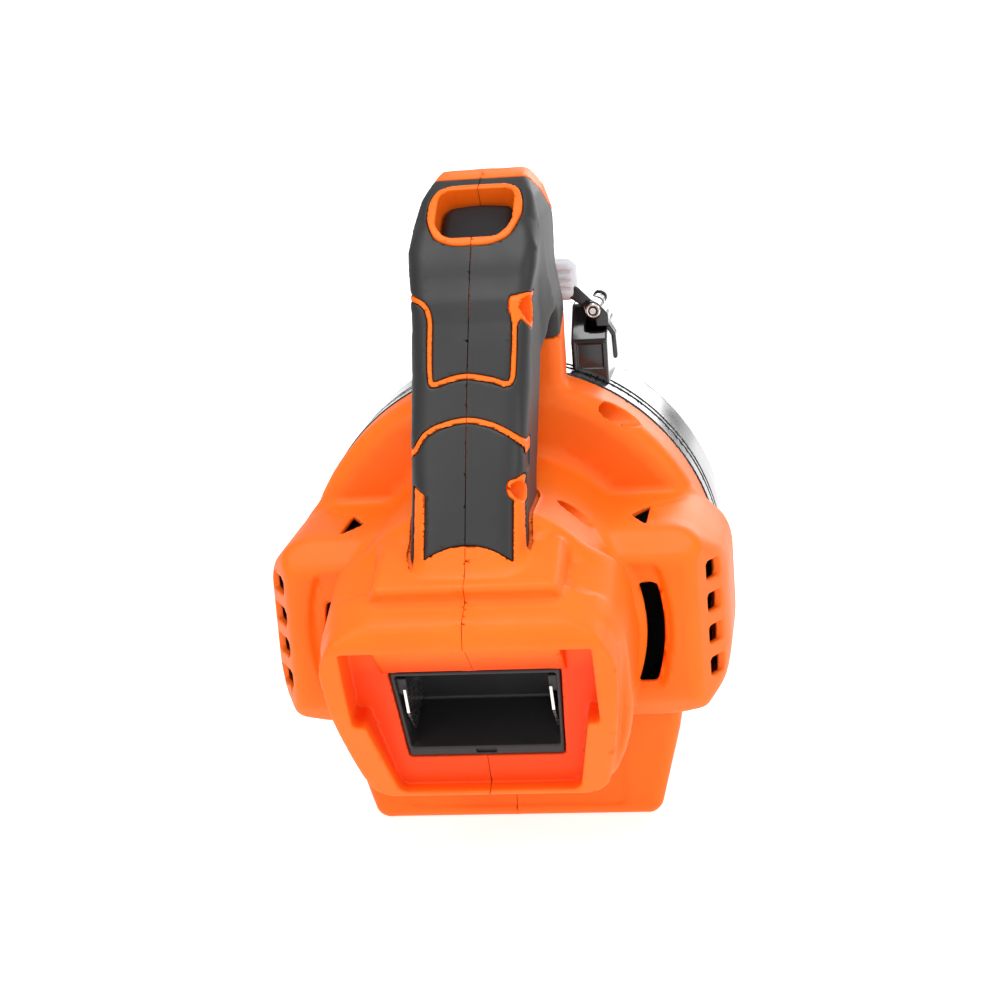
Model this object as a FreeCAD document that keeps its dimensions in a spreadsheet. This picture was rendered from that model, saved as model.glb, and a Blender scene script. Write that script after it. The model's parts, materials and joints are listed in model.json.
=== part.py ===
"""Cordless leaf blower as a parametric document: +X right, +Y towards the nozzle, +Z up.

The origin is the middle of the foot's underside. Lengths are in millimetres and angles in
degrees. Every driving size is a named cell of the Sizes sheet.
"""
import FreeCAD, Part
import math
import os
import Sketcher

Vector = FreeCAD.Vector

SIZES = {
    # casing
    "wall": 2.5,
    "axis_height": 80,
    "disc_radius": 73,
    "disc_round": 8,
    "disc_front": -4,
    "disc_rear": -27,
    "tunnel_radius": 48,
    "tunnel_rear": -96,
    "ear_side": 79.5,
    "ear_bevel": 13,
    "ear_top": 112,
    "ear_bottom": 43,
    "ear_rear": -78,
    "ear_corner": -56,
    "foot_rear": -45,
    "foot_front": 45,
    "foot_half": 50,
    "foot_flare": 60,
    "foot_height": 40,
    "slot_width": 5,
    "slot_height": 5,
    "slot_pitch": 11.5,
    "slot_top": 94,
    "arc_slot_radius": 55,
    "arc_slot_width": 6,
    "arc_slot_height": 34,
    # battery bay, in a frame tilted about X
    "bay_tilt": 21.2,
    "bay_rim": -87.8,
    "bay_lip": -80,
    "bay_wall": -76,
    "bay_roof": 139.2,
    "bay_roof_inside": 132.4,
    "bay_waist": 105,
    "bay_floor": 63,
    "bay_half": 46,
    "bay_inside": 39.5,
    "bay_step": 16.5,
    "hull_half": 49,
    "hull_front": -42,
    "block_half": 27.5,
    "block_bottom": 77.8,
    "block_top": 113.6,
    "block_depth": 26,
    "block_wall": 2.5,
    "blade_thick": 0.9,
    # handle
    "grip_width": 37,
    "column_width": 45,
    "skin": 2,
    "column_front": -4,
    "column_rear": -26,
    "head_front": 2,
    "well_tilt": 30.6,
    "well_width": 25.4,
    "well_length": 25,
    "rim_width": 3,
    "well_y": -38.5,
    "well_z": 213,
    # thumb trigger, in the frame of the well
    "trigger_drop": 7,
    "trigger_gap": 0.4,
    "pivot_along": 20,
    "pivot_down": -12,
    "pin_radius": 1.5,
    # motor and fan
    "motor_radius": 18.5,
    "motor_wall": 1.4,
    "motor_rear": -64,
    "motor_front": -16,
    "shaft_radius": 1.6,
    "shaft_front": 24,
    "bearing_radius": 6.5,
    "running_gap": 0.05,
    "armature_radius": 12,
    "hub_radius": 14,
    "fan_radius": 62,
    "fan_rear": -1,
    "blade_height": 22,
    "blade_count": 11,
    # front housing and tube
    "front_radius": 73.5,
    "shoulder": 34,
    "neck_radius": 44,
    "neck": 60,
    "socket_radius": 41,
    "socket_end": 26,
    "tube_slope": 8,
    "tube_radius": 38,
    "tube_tip_radius": 33,
    "tube_end": 190,
    "tube_wall": 2,
    "nozzle_start": 168,
    "nozzle_end": 282,
    "nozzle_half_width": 31,
    "nozzle_half_height": 13,
    # latch on the front housing
    "hood_side": 23.5,
    "hood_outer": 37,
    "hood_rear": 3,
    "hood_front": 34,
    "hood_top": 169.5,
    "latch_x": 32.4,
    "latch_z": 169.6,
    "latch_pin_radius": 1.1,
    # fasteners
    "screw_head": 3.4,
    "screw_radius": 1.7,
    "screw_bore": 4.4,
}


def make_sheet(doc):
    sheet = doc.addObject("Spreadsheet::Sheet", "Sizes")
    for row, (name, value) in enumerate(SIZES.items(), start=1):
        sheet.set(f"A{row}", name)
        sheet.set(f"B{row}", str(value))
        sheet.setAlias(f"B{row}", name)
    doc.recompute()
    return sheet


def formula(text):
    """A formula over the sheet: bare size names become references to its cells."""
    words = []
    word = ""
    for letter in str(text) + " ":
        if letter.isalnum() or letter in "_.":
            word += letter
            continue
        words.append(f"Sizes.{word}" if word in SIZES else word)
        words.append(letter)
        word = ""
    return "".join(words).strip()


def value_of(owner, text):
    return float(owner.evalExpression(formula(text)))


def bind(item, **sizes):
    for name, text in sizes.items():
        item.setExpression(name, formula(text))


def place(item, x=0, y=0, z=0, tilt=None, about=(1, 0, 0)):
    """Puts an item by formulas; tilt is an angle formula about the given axis."""
    item.Placement.Rotation = FreeCAD.Rotation(Vector(*about), 0)
    for axis, text in zip("xyz", (x, y, z)):
        item.setExpression(f"Placement.Base.{axis}", formula(text))
    if tilt is not None:
        item.Placement.Rotation = FreeCAD.Rotation(Vector(*about), 1)
        item.setExpression("Placement.Rotation.Angle", formula(tilt))
    return item


def origin_plane(body, role):
    return next(f for f in body.Origin.OriginFeatures if f.Role == role)


def new_body(doc, label):
    body = doc.addObject("PartDesign::Body", label)
    body.Label = label
    return body


def new_sketch(body, name, role, offset=0):
    sketch = body.newObject("Sketcher::SketchObject", name)
    sketch.AttachmentSupport = [(origin_plane(body, role), "")]
    sketch.MapMode = "FlatFace"
    sketch.setExpression("AttachmentOffset.Base.z", formula(offset))
    return sketch


def fix_point(sketch, line, end, corner):
    for kind, text in zip(("DistanceX", "DistanceY"), corner):
        value = value_of(sketch, text)
        index = sketch.addConstraint(Sketcher.Constraint(kind, -1, 1, line, end, value))
        sketch.setExpression(f"Constraints[{index}]", formula(text))


def outline(sketch, corners):
    """A closed outline of straight lines through corners given by pairs of formulas."""
    points = [Vector(value_of(sketch, a), value_of(sketch, b), 0) for a, b in corners]
    count = len(points)
    for i, point in enumerate(points):
        sketch.addGeometry(Part.LineSegment(point, points[(i + 1) % count]))
    for i, corner in enumerate(corners):
        sketch.addConstraint(Sketcher.Constraint("Coincident", i, 2, (i + 1) % count, 1))
        fix_point(sketch, i, 1, corner)


def extruded(doc, label, role, corners, length, offset=0, middle=False, reverse=False):
    """A body padded from one outline on an origin plane."""
    body = new_body(doc, label)
    sketch = new_sketch(body, f"{label}_outline", role, offset)
    outline(sketch, corners)
    pad = body.newObject("PartDesign::Pad", f"{label}_pad")
    pad.Profile = sketch
    pad.SideType = "Symmetric" if middle else "One side"
    pad.Reversed = reverse
    pad.setExpression("Length", formula(length))
    sketch.Visibility = False
    return body


def turned(doc, label, corners):
    """A body turned about its own Y axis from an outline of (along Y, radius) formulas."""
    body = new_body(doc, label)
    sketch = new_sketch(body, f"{label}_outline", "YZ_Plane")
    outline(sketch, corners)
    turn = body.newObject("PartDesign::Revolution", f"{label}_turn")
    turn.Profile = sketch
    turn.ReferenceAxis = (sketch, ["H_Axis"])
    turn.Angle = 360
    return body


def on_axis(body):
    return place(body, z="axis_height")


def ring(doc, label, rear, front, outer, inner=0):
    corners = [(rear, inner), (front, inner), (front, outer), (rear, outer)]
    return turned(doc, label, corners)


def rod(doc, label, radius, length, along="Y"):
    """A round rod along X or Y from its placement point."""
    item = doc.addObject("Part::Cylinder", label)
    bind(item, Radius=radius, Height=length)
    turn = {"X": ((0, 1, 0), 90), "Y": ((1, 0, 0), -90), "Z": ((1, 0, 0), 0)}[along]
    item.Placement.Rotation = FreeCAD.Rotation(Vector(*turn[0]), turn[1])
    return item


def move(item, x=0, y=0, z=0):
    for axis, text in zip("xyz", (x, y, z)):
        item.setExpression(f"Placement.Base.{axis}", formula(text))
    return item


def box(doc, label, width, length, height, x=0, y=0, z=0):
    """A box centred in X at x, starting at y and z."""
    item = doc.addObject("Part::Box", label)
    bind(item, Length=width, Width=length, Height=height)
    return move(item, f"({x}) - ({width}) / 2", y, z)


def join(doc, label, *items):
    item = doc.addObject("Part::MultiFuse", label)
    item.Shapes = list(items)
    return item


def common(doc, label, *items):
    item = doc.addObject("Part::MultiCommon", label)
    item.Shapes = list(items)
    return item


def cut(doc, label, base, *tools):
    item = doc.addObject("Part::Cut", label)
    item.Base = base
    item.Tool = tools[0] if len(tools) == 1 else join(doc, f"{label}_tools", *tools)
    return item


def group(doc, label, *items):
    """Separate solids kept as one node."""
    item = doc.addObject("Part::Compound", label)
    item.Links = list(items)
    return item


# ---------------------------------------------------------------- forms of the casing


def disc_form(doc, label, inset, front="disc_front"):
    """The drum behind the fan, with its rounded rear edge as a bevel."""
    radius = f"disc_radius - {inset}"
    rear = f"disc_rear + {inset}"
    corners = [
        (front, 0),
        (front, radius),
        (f"{rear} + disc_round", radius),
        (rear, f"{radius} - disc_round"),
        (rear, 0),
    ]
    return on_axis(turned(doc, label, corners))


def tunnel_form(doc, label, inset):
    """The round tunnel that holds the motor, from the disc back to the battery bay."""
    radius = f"tunnel_radius - {inset}"
    rear = f"tunnel_rear + {inset}"
    corners = [
        ("disc_rear + 6", 0),
        ("disc_rear + 6", radius),
        (f"{rear} + 14", radius),
        (rear, f"{radius} - 10"),
        (rear, 0),
    ]
    return on_axis(turned(doc, label, corners))


def ear_form(doc, label, inset):
    """Both intake ears as one bevelled slab across the tunnel."""
    side = f"(ear_side - {inset})"
    top = f"(ear_top - {inset})"
    bottom = f"(ear_bottom + {inset})"
    bevel = f"(ear_bevel - {inset} * 0.4)"
    front_view = [
        (f"-{side} + {bevel}", bottom),
        (f"{side} - {bevel}", bottom),
        (side, f"{bottom} + {bevel}"),
        (side, f"{top} - {bevel}"),
        (f"{side} - {bevel}", top),
        (f"-{side} + {bevel}", top),
        (f"-{side}", f"{top} - {bevel}"),
        (f"-{side}", f"{bottom} + {bevel}"),
    ]
    length = f"(disc_rear + 8) - (ear_rear + {inset})"
    across = extruded(doc, f"{label}_across", "XZ_Plane", front_view, length, "-(disc_rear + 8)")
    rear = f"(ear_rear + {inset})"
    plan = [
        (f"-{side}", "disc_rear + 10"),
        (f"-{side}", "ear_corner"),
        (f"-{side} + {bevel}", rear),
        (f"{side} - {bevel}", rear),
        (side, "ear_corner"),
        (side, "disc_rear + 10"),
    ]
    above = extruded(doc, f"{label}_above", "XY_Plane", plan, 150)
    return common(doc, label, across, above)


def foot_form(doc, label, inset, rear, front, height="foot_height"):
    """A foot flaring upwards, from rear to front."""
    low = f"(foot_half - {inset})"
    high = f"(foot_flare - {inset})"
    corners = [
        (f"-{low}", inset),
        (low, inset),
        (high, height),
        (f"-{high}", height),
    ]
    return extruded(doc, label, "XZ_Plane", corners, f"({front}) - ({rear})", f"-({front})")


def bay_frame(body):
    return place(body, tilt="bay_tilt")


def shroud_form(doc, label):
    """The rim around the battery bay, cut back below its waist to the lip."""
    face = [
        ("-bay_half + 9", "bay_roof"),
        ("-bay_half - 1", "bay_roof - 9"),
        ("-bay_half - 1", "bay_waist - 4"),
        ("-bay_half + 6", "bay_floor"),
        ("bay_half - 6", "bay_floor"),
        ("bay_half + 1", "bay_waist - 4"),
        ("bay_half + 1", "bay_roof - 9"),
        ("bay_half - 9", "bay_roof"),
    ]
    side = [
        ("bay_rim + 5", "bay_roof"),
        ("bay_rim", "bay_roof_inside"),
        ("bay_rim", "bay_waist"),
        ("bay_lip", "bay_floor"),
        ("bay_rim + bay_step", "bay_floor"),
        ("bay_rim + bay_step", "bay_roof"),
    ]
    rear_view = extruded(doc, f"{label}_face", "XZ_Plane", face, 60, "-(bay_rim + 40)")
    side_view = extruded(doc, f"{label}_side", "YZ_Plane", side, 120, middle=True)
    return common(doc, label, bay_frame(rear_view), bay_frame(side_view))


def hull_form(doc, label, inset):
    """The block between the bay rim and the tunnel, with the raised step on its roof."""
    side = f"(hull_half - {inset})"
    face = [
        (f"-{side} + 10", f"bay_roof - 2 - {inset}"),
        (f"-{side}", f"bay_roof - 12 - {inset}"),
        (f"-{side}", f"bay_floor + 22 + {inset}"),
        (f"-{side} + 10", f"bay_floor + {inset}"),
        (f"{side} - 10", f"bay_floor + {inset}"),
        (side, f"bay_floor + 22 + {inset}"),
        (side, f"bay_roof - 12 - {inset}"),
        (f"{side} - 10", f"bay_roof - 2 - {inset}"),
    ]
    start = f"(bay_rim + bay_step - {inset} * 0.8)"
    length = f"hull_front - {start} - {inset}"
    lower = extruded(doc, f"{label}_lower", "XZ_Plane", face, length, f"-(hull_front - {inset})")
    step = [
        (f"-34 + {inset}", "bay_roof - 8"),
        (f"34 - {inset}", "bay_roof - 8"),
        (f"30 - {inset}", f"bay_roof + 7 - {inset}"),
        (f"-30 + {inset}", f"bay_roof + 7 - {inset}"),
    ]
    upper = extruded(doc, f"{label}_upper", "XZ_Plane", step, f"26 - {inset}", "-(hull_front - 6)")
    return join(doc, label, bay_frame(lower), bay_frame(upper))


def grip_form(doc):
    """The leaning post of the grip, down into the tunnel."""
    corners = [(-114, 111), (-90, 153), (-64, 188), (-44, 196), (-32, 170), (-80, 98)]
    return extruded(doc, "grip_form", "YZ_Plane", corners, "grip_width", middle=True)


def head_form(doc):
    """The head that joins the grip and the column, with the thumb trigger on its slope."""
    corners = [
        (-66, 185),
        (-52, 205),
        (-25, 221),
        (-10, 223),
        ("head_front - 1", 215),
        ("head_front", 190),
        (-22, 180),
        (-34, 168),
    ]
    return extruded(doc, "head_form", "YZ_Plane", corners, "column_width", middle=True)


def column_form(doc):
    """The upright in front of the finger gap, standing on the disc."""
    corners = [
        ("column_rear + 2", 198),
        ("head_front - 0.8", 198),
        ("column_front", 158),
        ("column_front", 140),
        ("column_rear", 140),
    ]
    return extruded(doc, "column_form", "YZ_Plane", corners, "column_width", middle=True)


def inset(doc, label, form, depth):
    shrunk = doc.addObject("Part::Offset", label)
    shrunk.Source = form
    shrunk.Join = 2
    bind(shrunk, Value=f"-({depth})")
    return shrunk


def well_frame(item):
    return place(item, y="well_y", z="well_z", tilt="well_tilt")


def well_prism(doc, label, half_width, half_length, top, bottom):
    """An upright block in the frame of the trigger's well."""
    corners = [
        (f"-({half_length})", bottom),
        (half_length, bottom),
        (half_length, top),
        (f"-({half_length})", top),
    ]
    return well_frame(extruded(doc, label, "YZ_Plane", corners, f"2 * ({half_width})", middle=True))


def bay_block(doc, label, half_width, low, high, rear, front):
    """A block in the tilted frame of the battery bay."""
    corners = [(f"-({half_width})", low), (half_width, low), (half_width, high), (f"-({half_width})", high)]
    length = f"({front}) - ({rear})"
    return bay_frame(extruded(doc, label, "XZ_Plane", corners, length, f"-({front})"))


def cross_rod(doc, label, radius, left, right, y, z):
    """A rod along X between left and right."""
    return move(rod(doc, label, radius, f"({right}) - ({left})", "X"), left, y, z)


# Screws through the seam: name, Y, Z and how far their bosses reach each way.
SEAM_SCREWS = [
    ("disc", -21, 138, 52),
    ("tunnel", -68, 116.5, 36),
    ("grip_low", -95.4, 131.5, 14),
    ("grip_high", -61.7, 180.9, 14),
    ("foot", -25, 13, 54),
]


def pivot_point():
    """The trigger's pivot in the part's own frame, as formulas."""
    y = "well_y + pivot_along * cos(well_tilt * 1deg) - pivot_down * sin(well_tilt * 1deg)"
    z = "well_z + pivot_along * sin(well_tilt * 1deg) + pivot_down * cos(well_tilt * 1deg)"
    return y, z


def slot_cutters(doc):
    """Openings that let air in: ear corners, the arcs behind the ears and the shelf."""
    cutters = []
    for side, sign in (("right", 1), ("left", -1)):
        for i in range(4):
            height = f"slot_top - {i} * slot_pitch - slot_height / 2"
            cutters.append(box(doc, f"slot_{side}_{i}", 16, "slot_width", "slot_height",
                               f"{sign} * 79", "ear_corner - 3.5", height))
        band = on_axis(ring(doc, f"arc_band_{side}", "ear_rear - 4", "ear_rear + 5",
                            "arc_slot_radius + arc_slot_width / 2",
                            "arc_slot_radius - arc_slot_width / 2"))
        window = box(doc, f"arc_window_{side}", 24, 20, "arc_slot_height",
                     f"{sign} * 55", "ear_rear - 8", "axis_height - arc_slot_height / 2")
        cutters.append(common(doc, f"arc_slot_{side}", band, window))
        cutters.append(box(doc, f"shelf_vent_{side}", 5, 6, 8, f"{sign} * 50", -49, "ear_top - 5"))
    return cutters


def bay_cutters(doc):
    """The shallow recess of the bay and the window that the terminal block fills."""
    side = [
        ("bay_rim - 8", "bay_roof_inside"),
        ("bay_rim", "bay_roof_inside"),
        ("bay_wall", "block_top"),
        ("bay_wall", "bay_floor + 3"),
        ("bay_rim - 8", "bay_floor + 3"),
    ]
    recess = extruded(doc, "bay_recess", "YZ_Plane", side, "2 * bay_inside", middle=True)
    window = bay_block(doc, "block_window", "block_half", "block_bottom", "block_top",
                       "bay_rim", "bay_wall + block_depth")
    return [bay_frame(recess), window]


def make_casing(doc):
    """The clamshell halves and the soft skin over the handle."""
    grip = grip_form(doc)
    head = head_form(doc)
    column = column_form(doc)
    disc = disc_form(doc, "disc_outer", 0)
    tunnel = tunnel_form(doc, "tunnel_outer", 0)
    hull = hull_form(doc, "hull_outer", 0)
    outer = join(doc, "casing_outer", disc, tunnel, hull,
                 ear_form(doc, "ears_outer", 0),
                 foot_form(doc, "foot_outer", 0, "foot_rear", "disc_front"),
                 shroud_form(doc, "shroud"),
                 grip, head, column)
    inner = join(doc, "casing_inner",
                 disc_form(doc, "disc_inner", "wall", "disc_front + 1"),
                 tunnel_form(doc, "tunnel_inner", "wall"),
                 ear_form(doc, "ears_inner", "wall"),
                 foot_form(doc, "foot_inner", "wall", "foot_rear + wall", "disc_front + 1"),
                 hull_form(doc, "hull_inner", "wall"),
                 inset(doc, "grip_inner", grip, "skin + wall"),
                 inset(doc, "head_inner", head, "skin + wall"),
                 inset(doc, "column_inner", column, "wall"))

    region = [(-124, 125), (-78, 90), (-30, 160), (4, 177), (4, 207), (-16, 228), (-40, 236), (-104, 190)]
    soft_region = extruded(doc, "skin_region", "YZ_Plane", region, 80, middle=True)
    handle = join(doc, "handle_outer", grip, head)
    core = join(doc, "handle_core", disc, tunnel, hull, *[
        inset(doc, f"{name}_core", form, "skin")
        for name, form in (("grip", grip), ("head", head), ("column", column))])
    rim = well_prism(doc, "well_rim", "well_width / 2 + rim_width", "well_length / 2 + rim_width", 12, -12)
    skin = cut(doc, "skin_whole", common(doc, "skin_zone", handle, soft_region), core, rim,
               *[cross_rod(doc, f"skin_bore_{name}", "screw_bore + 0.8", 5, 60, y, z)
                 for name, y, z, reach in SEAM_SCREWS if name.startswith("grip")])

    y, z = pivot_point()
    bosses = [common(doc, f"boss_{name}", outer, cross_rod(doc, f"boss_rod_{name}", 5.6, -reach, reach, y0, z0))
              for name, y0, z0, reach in SEAM_SCREWS]
    bosses += [cross_rod(doc, "pivot_boss_right", 4, 8, 19, y, z),
               cross_rod(doc, "pivot_boss_left", 4, -19, -8, y, z)]
    hollow = cut(doc, "casing_hollow", outer, inner)
    solid = cut(doc, "casing_solid", join(doc, "casing_ribbed", hollow, *bosses), skin)
    bores = []
    for name, y0, z0, reach in SEAM_SCREWS:
        bores.append(cross_rod(doc, f"bore_{name}", "screw_bore", 11, 90, y0, z0))
        bores.append(cross_rod(doc, f"seat_{name}", "screw_head", 8.5, 12, y0, z0))
        bores.append(cross_rod(doc, f"shank_{name}", "screw_radius", -12, 9, y0, z0))
    bores.append(cross_rod(doc, "pivot_hole", "pin_radius", -15, 15, y, z))
    well = well_prism(doc, "well", "well_width / 2", "well_length / 2", 12, -10)
    casing = cut(doc, "casing", solid, well, *slot_cutters(doc), *bay_cutters(doc), *bores)
    nodes = []
    for side, left_edge in (("right", 0), ("left", -120)):
        half = box(doc, f"half_space_{side}", 120, 400, 400, f"{left_edge} + 60", -200, -100)
        nodes.append(common(doc, f"housing_{side}", casing, half))
        nodes.append(common(doc, f"grip_skin_{side}", skin, half))
    return nodes


def make_screws(doc):
    """The seam screws, driven from the right."""
    screws = []
    for name, y, z, reach in SEAM_SCREWS:
        head = cross_rod(doc, f"screw_head_{name}", "screw_head", 8.5, 11, y, z)
        shank = cross_rod(doc, f"screw_shank_{name}", "screw_radius", -12, 8.5, y, z)
        screws.append(join(doc, f"screw_{name}", head, shank))
    return group(doc, "housing_screws", *screws)


def make_terminals(doc):
    """The hollow terminal block and its two blades."""
    outside = bay_block(doc, "block_outside", "block_half", "block_bottom", "block_top",
                        "bay_wall", "bay_wall + block_depth")
    cavity = bay_block(doc, "block_cavity", "block_half - block_wall", "block_bottom + block_wall + 1.5",
                       "block_top - block_wall", "bay_wall - 1", "bay_wall + block_depth - block_wall")
    nodes = [cut(doc, "terminal_block", outside, cavity)]
    for name, sign in (("positive", 1), ("negative", -1)):
        profile = [
            ("bay_wall + 1", "block_top - 8"),
            ("bay_wall + 1", "block_bottom + 18"),
            ("bay_wall + 6", "block_bottom + 7"),
            ("bay_wall + block_depth - block_wall", "block_bottom + 7"),
            ("bay_wall + block_depth - block_wall", "block_top - 8"),
        ]
        start = f"{sign} * (block_half - block_wall - 1.5) - blade_thick / 2"
        nodes.append(bay_frame(extruded(doc, f"terminal_{name}", "YZ_Plane", profile, "blade_thick", start)))
    return nodes


def make_trigger(doc):
    """Thumb trigger, its pin, return springs and the switch under it."""
    half = "(well_width / 2 - trigger_gap)"
    face = [
        (f"-{half}", -15.5),
        (half, -15.5),
        (half, "-trigger_drop - 4.5"),
        (f"{half} - 5", "-trigger_drop"),
        (f"-{half} + 5", "-trigger_drop"),
        (f"-{half}", "-trigger_drop - 4.5"),
    ]
    reach = "(well_length / 2 - 0.9)"
    pad = well_frame(extruded(doc, "trigger_pad", "XZ_Plane", face, f"2 * {reach}", f"-{reach}"))
    arm_profile = [(6, -15.5), (6, -10.5), ("pivot_along - 1", -9.5), ("pivot_along - 1", -14.5)]
    arm = well_frame(extruded(doc, "trigger_arm", "YZ_Plane", arm_profile, 9, middle=True))
    stem_profile = [(-6, -17.5), (-2, -17.5), (-2, -15), (-6, -15)]
    stem = well_frame(extruded(doc, "trigger_stem", "YZ_Plane", stem_profile, 5, middle=True))
    y, z = pivot_point()
    hub = cross_rod(doc, "trigger_hub", 3.1, -5, 5, y, z)
    bore = cross_rod(doc, "trigger_bore", "pin_radius + running_gap", -6, 6, y, z)
    trigger = cut(doc, "thumb_trigger", join(doc, "trigger_solid", pad, arm, stem, hub), bore)
    pin = cross_rod(doc, "trigger_pin", "pin_radius", -15, 15, y, z)
    coils = []
    for sign in (-1, 1):
        for turn in range(3):
            coil = doc.addObject("Part::Torus", f"trigger_coil_{turn}_{'left' if sign < 0 else 'right'}")
            bind(coil, Radius1="pin_radius + 0.75", Radius2=0.3)
            coil.Placement.Rotation = FreeCAD.Rotation(Vector(0, 1, 0), 90)
            coils.append(move(coil, f"{sign} * (5.6 + {turn} * 0.75)", y, z))
    springs = group(doc, "trigger_springs", *coils)
    switch = well_prism(doc, "switch_case", 7, 9, -22.6, -29.5)
    button = well_prism(doc, "switch_button", 1.5, 1.5, -21.9, -22.6)
    return [trigger, pin, springs, join(doc, "trigger_switch", switch, button)]


def make_motor(doc):
    """A brushed can motor: fixed parts first, then what turns in it."""
    can = on_axis(turned(doc, "motor_can", [
        ("motor_rear", "bearing_radius"),
        ("motor_rear", "motor_radius"),
        ("motor_front - 2", "motor_radius"),
        ("motor_front - 2", "motor_radius - motor_wall"),
        ("motor_rear + 2", "motor_radius - motor_wall"),
        ("motor_rear + 2", "bearing_radius"),
    ]))
    cap = on_axis(ring(doc, "motor_end_cap", "motor_front - 2", "motor_front", "motor_radius", "bearing_radius"))
    bore = "shaft_radius + running_gap"
    rear = on_axis(ring(doc, "rear_bearing", "motor_rear - 2", "motor_rear + 4", "bearing_radius", bore))
    front = on_axis(ring(doc, "front_bearing", "motor_front - 5", "motor_front + 2", "bearing_radius", bore))
    band = on_axis(ring(doc, "magnet_band", "motor_rear + 8", "motor_front - 10",
                        "motor_radius - motor_wall", "armature_radius + 1.6"))
    gap = box(doc, "magnet_gap", 10, 80, 60, 0, "motor_rear", "axis_height - 30")
    magnets = cut(doc, "motor_magnets", band, gap)
    brushes = group(doc, "motor_brushes", *[
        box(doc, f"brush_{side}", 6, 4, 4, f"{sign} * 9.2", "motor_front - 10", "axis_height - 2")
        for side, sign in (("right", 1), ("left", -1))])
    shaft = on_axis(ring(doc, "motor_shaft", "motor_rear - 3", "shaft_front", "shaft_radius"))
    armature = on_axis(ring(doc, "armature", "motor_rear + 9", "motor_front - 14",
                            "armature_radius", "shaft_radius"))
    commutator = on_axis(ring(doc, "commutator", "motor_front - 11", "motor_front - 5.5", 6, "shaft_radius"))
    return [can, cap, rear, front, magnets, brushes, shaft, armature, commutator]


def make_mounts(doc):
    """Bulkheads that carry the motor, and the rubber rings between."""
    nodes = []
    rubbers = []
    for name, at in (("rear", "motor_rear + 16"), ("front", "motor_front - 10")):
        plate = on_axis(ring(doc, f"bulkhead_{name}_plate", at, f"{at} + 4",
                             "tunnel_radius - wall", "motor_radius + 2.5"))
        holes = []
        for i in range(6):
            hole = rod(doc, f"bulkhead_{name}_hole_{i}", 6.5, 10)
            angle = f"({i} * 60 + 30) * 1deg"
            holes.append(move(hole, f"31.5 * cos({angle})", f"{at} - 3", f"axis_height + 31.5 * sin({angle})"))
        nodes.append(cut(doc, f"{name}_bulkhead", plate, *holes))
        rubbers.append(on_axis(ring(doc, f"isolator_{name}", at, f"{at} + 4", "motor_radius + 2.5", "motor_radius")))
    return nodes + [group(doc, "motor_isolators", *rubbers)]


def make_fan(doc):
    """Centrifugal fan on the shaft, with its nut."""
    body = on_axis(turned(doc, "fan", [
        ("fan_rear", "shaft_radius"),
        ("fan_rear", "fan_radius"),
        ("fan_rear + 2", "fan_radius"),
        ("fan_rear + 4", "hub_radius"),
        ("fan_rear + 20", "hub_radius - 6"),
        ("fan_rear + 20", "shaft_radius"),
    ]))
    doc.recompute()
    sketch = new_sketch(body, "fan_blade_outline", "XZ_Plane", "-(fan_rear + 1)")
    outline(sketch, [("hub_radius - 7", -1), ("fan_radius - 2", 13), ("fan_radius - 2", 14.8), ("hub_radius - 7", 1)])
    blade = body.newObject("PartDesign::Pad", "fan_blade")
    blade.Profile = sketch
    blade.Reversed = True
    bind(blade, Length="blade_height")
    pattern = body.newObject("PartDesign::PolarPattern", "fan_blades")
    pattern.Originals = [blade]
    pattern.Axis = (body.Origin.OriginFeatures[1], [""])
    pattern.Angle = 360
    bind(pattern, Occurrences="blade_count")
    body.Tip = pattern
    clear = on_axis(ring(doc, "shaft_clearance", "fan_rear - 5", "fan_rear + 40", "shaft_radius"))
    impeller = cut(doc, "impeller", body, clear)
    nut = on_axis(ring(doc, "impeller_nut", "fan_rear + 20", "shaft_front - 1", 4.5, "shaft_radius"))
    return [impeller, nut]


def front_shell(doc, label, inset_by, start, end):
    radius = f"(front_radius - {inset_by})"
    corners = [
        (start, 0),
        (start, radius),
        ("shoulder", radius),
        ("shoulder + 13", f"{radius} - 8"),
        (f"neck - {inset_by} * 0.5", f"neck_radius - {inset_by}"),
        (end, f"neck_radius - {inset_by}"),
        (end, 0),
    ]
    return on_axis(turned(doc, label, corners))


def tube_frame(item):
    """The frame of the blowing tube, sloping down from a point on the fan axis."""
    item.Placement.Rotation = FreeCAD.Rotation(Vector(-1, 0, 0), 1)
    item.setExpression("Placement.Rotation.Angle", formula("tube_slope"))
    item.setExpression("Placement.Base.y", formula("neck"))
    item.setExpression("Placement.Base.z", formula("axis_height"))
    return item


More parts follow.
